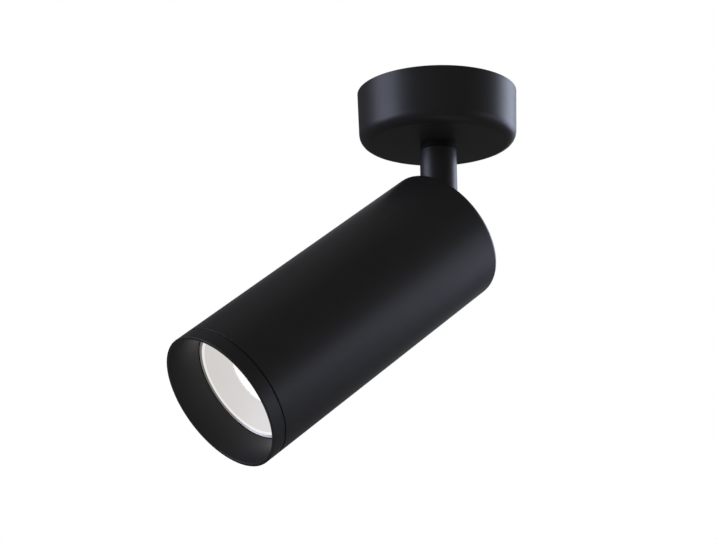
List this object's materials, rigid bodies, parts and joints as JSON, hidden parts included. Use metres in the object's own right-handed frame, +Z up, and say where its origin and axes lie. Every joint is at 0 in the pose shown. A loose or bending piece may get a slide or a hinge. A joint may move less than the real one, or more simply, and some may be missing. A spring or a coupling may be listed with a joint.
{
  "type": "ceiling spotlight",
  "caption": "Surface mounted ceiling spotlight: round ceiling cup, swivelling stem and tilting cylindrical head with a pull-off front ring and a twist-lock reflector lamp.",
  "frame": {"origin": "centre of the ceiling face: the middle of the bracket's two fixing slots, level with the cup's rim", "axes": "+Z up into the ceiling; the head points towards -X and down at rest; the tilt axis is along Y"},
  "size_m": [0.1629, 0.0708, 0.1728],
  "materials": {
    "black_coat": "fine matt black powder coat on aluminium",
    "black_coat_steel": "fine matt black powder coat on steel",
    "black_screw": "black oxide",
    "black_nylon": "moulded black nylon",
    "zinc_steel": "bright zinc plate",
    "spring_steel": "oiled spring steel",
    "fibre_washer": "red fibre",
    "bare_brass": "bare brass",
    "tinned_copper": "tinned",
    "terminal_nylon": "moulded white nylon",
    "cast_alloy": "as cast",
    "steatite": "unglazed steatite",
    "black_rubber": "matte",
    "lamp_plastic": "satin white thermal plastic",
    "satin_reflector": "satin white reflector",
    "frosted_lens": "frosted white disc",
    "white_board": "white solder mask",
    "led_phosphor": "yellow phosphor",
    "green_board": "green solder mask",
    "nickel_pins": "nickel plate",
    "brown_silicone": "brown silicone insulation",
    "blue_silicone": "blue silicone insulation",
    "earth_silicone": "green and yellow silicone insulation"
  },
  "bodies": {
    "canopy": {"canopy_cover": "black_coat", "mounting_bracket": "zinc_steel", "cup_screw": "black_screw", "earth_screw": "bare_brass", "terminal_block": "terminal_nylon", "terminal_tubes": "bare_brass", "terminal_screws": "zinc_steel", "swivel_bush": "black_nylon", "canopy_wire_live": "brown_silicone", "canopy_wire_neutral": "blue_silicone", "canopy_wire_earth": "earth_silicone"},
    "stem": {"stem_tube": "black_coat_steel", "stem_nipple": "zinc_steel", "stop_washer": "zinc_steel", "spring_washer": "spring_steel", "swivel_nut": "zinc_steel", "pivot_screw": "zinc_steel", "pivot_nut": "zinc_steel", "friction_washers": "fibre_washer", "stem_wire_live": "brown_silicone", "stem_wire_neutral": "blue_silicone", "stem_wire_earth": "earth_silicone"},
    "head": {"head_housing": "black_coat", "hinge_bracket": "cast_alloy", "hinge_screws": "black_screw", "holder_strap": "zinc_steel", "strap_screws": "zinc_steel", "earth_lug": "tinned_copper", "lampholder": "steatite", "holder_contacts": "bare_brass", "holder_screws": "zinc_steel", "head_wire_live": "brown_silicone", "head_wire_neutral": "blue_silicone", "head_wire_earth": "earth_silicone"},
    "front_ring": {"front_ring": "black_coat", "ring_o_ring": "black_rubber"},
    "lamp": {"lamp_shell": "lamp_plastic", "lamp_bezel": "lamp_plastic", "lamp_reflector": "satin_reflector", "lamp_lens": "frosted_lens", "led_board": "white_board", "led_chips": "led_phosphor", "driver_board": "green_board", "lamp_pins": "nickel_pins"}
  },
  "joints": [
    {"name": "swivel", "type": "hinge", "parent": "canopy", "child": "stem", "pos_m": [0, 0, -0.0255], "axis": [0, 0, 1], "range_deg": [-165, 165]},
    {"name": "tilt", "type": "hinge", "parent": "stem", "child": "head", "pos_m": [0, 0, -0.0669], "axis": [0, 1, 0], "range_deg": [-52.73, 12.27]},
    {"name": "ring_pull", "type": "slide", "parent": "head", "child": "front_ring", "axis": [-0.7958, 0, -0.6056], "range_m": [0, 0.02]},
    {"name": "lamp_twist", "type": "hinge", "parent": "head", "child": "lamp", "pos_m": [0, 0, -0.0669], "axis": [-0.7958, 0, -0.6056], "range_deg": [0, 45]}
  ]
}
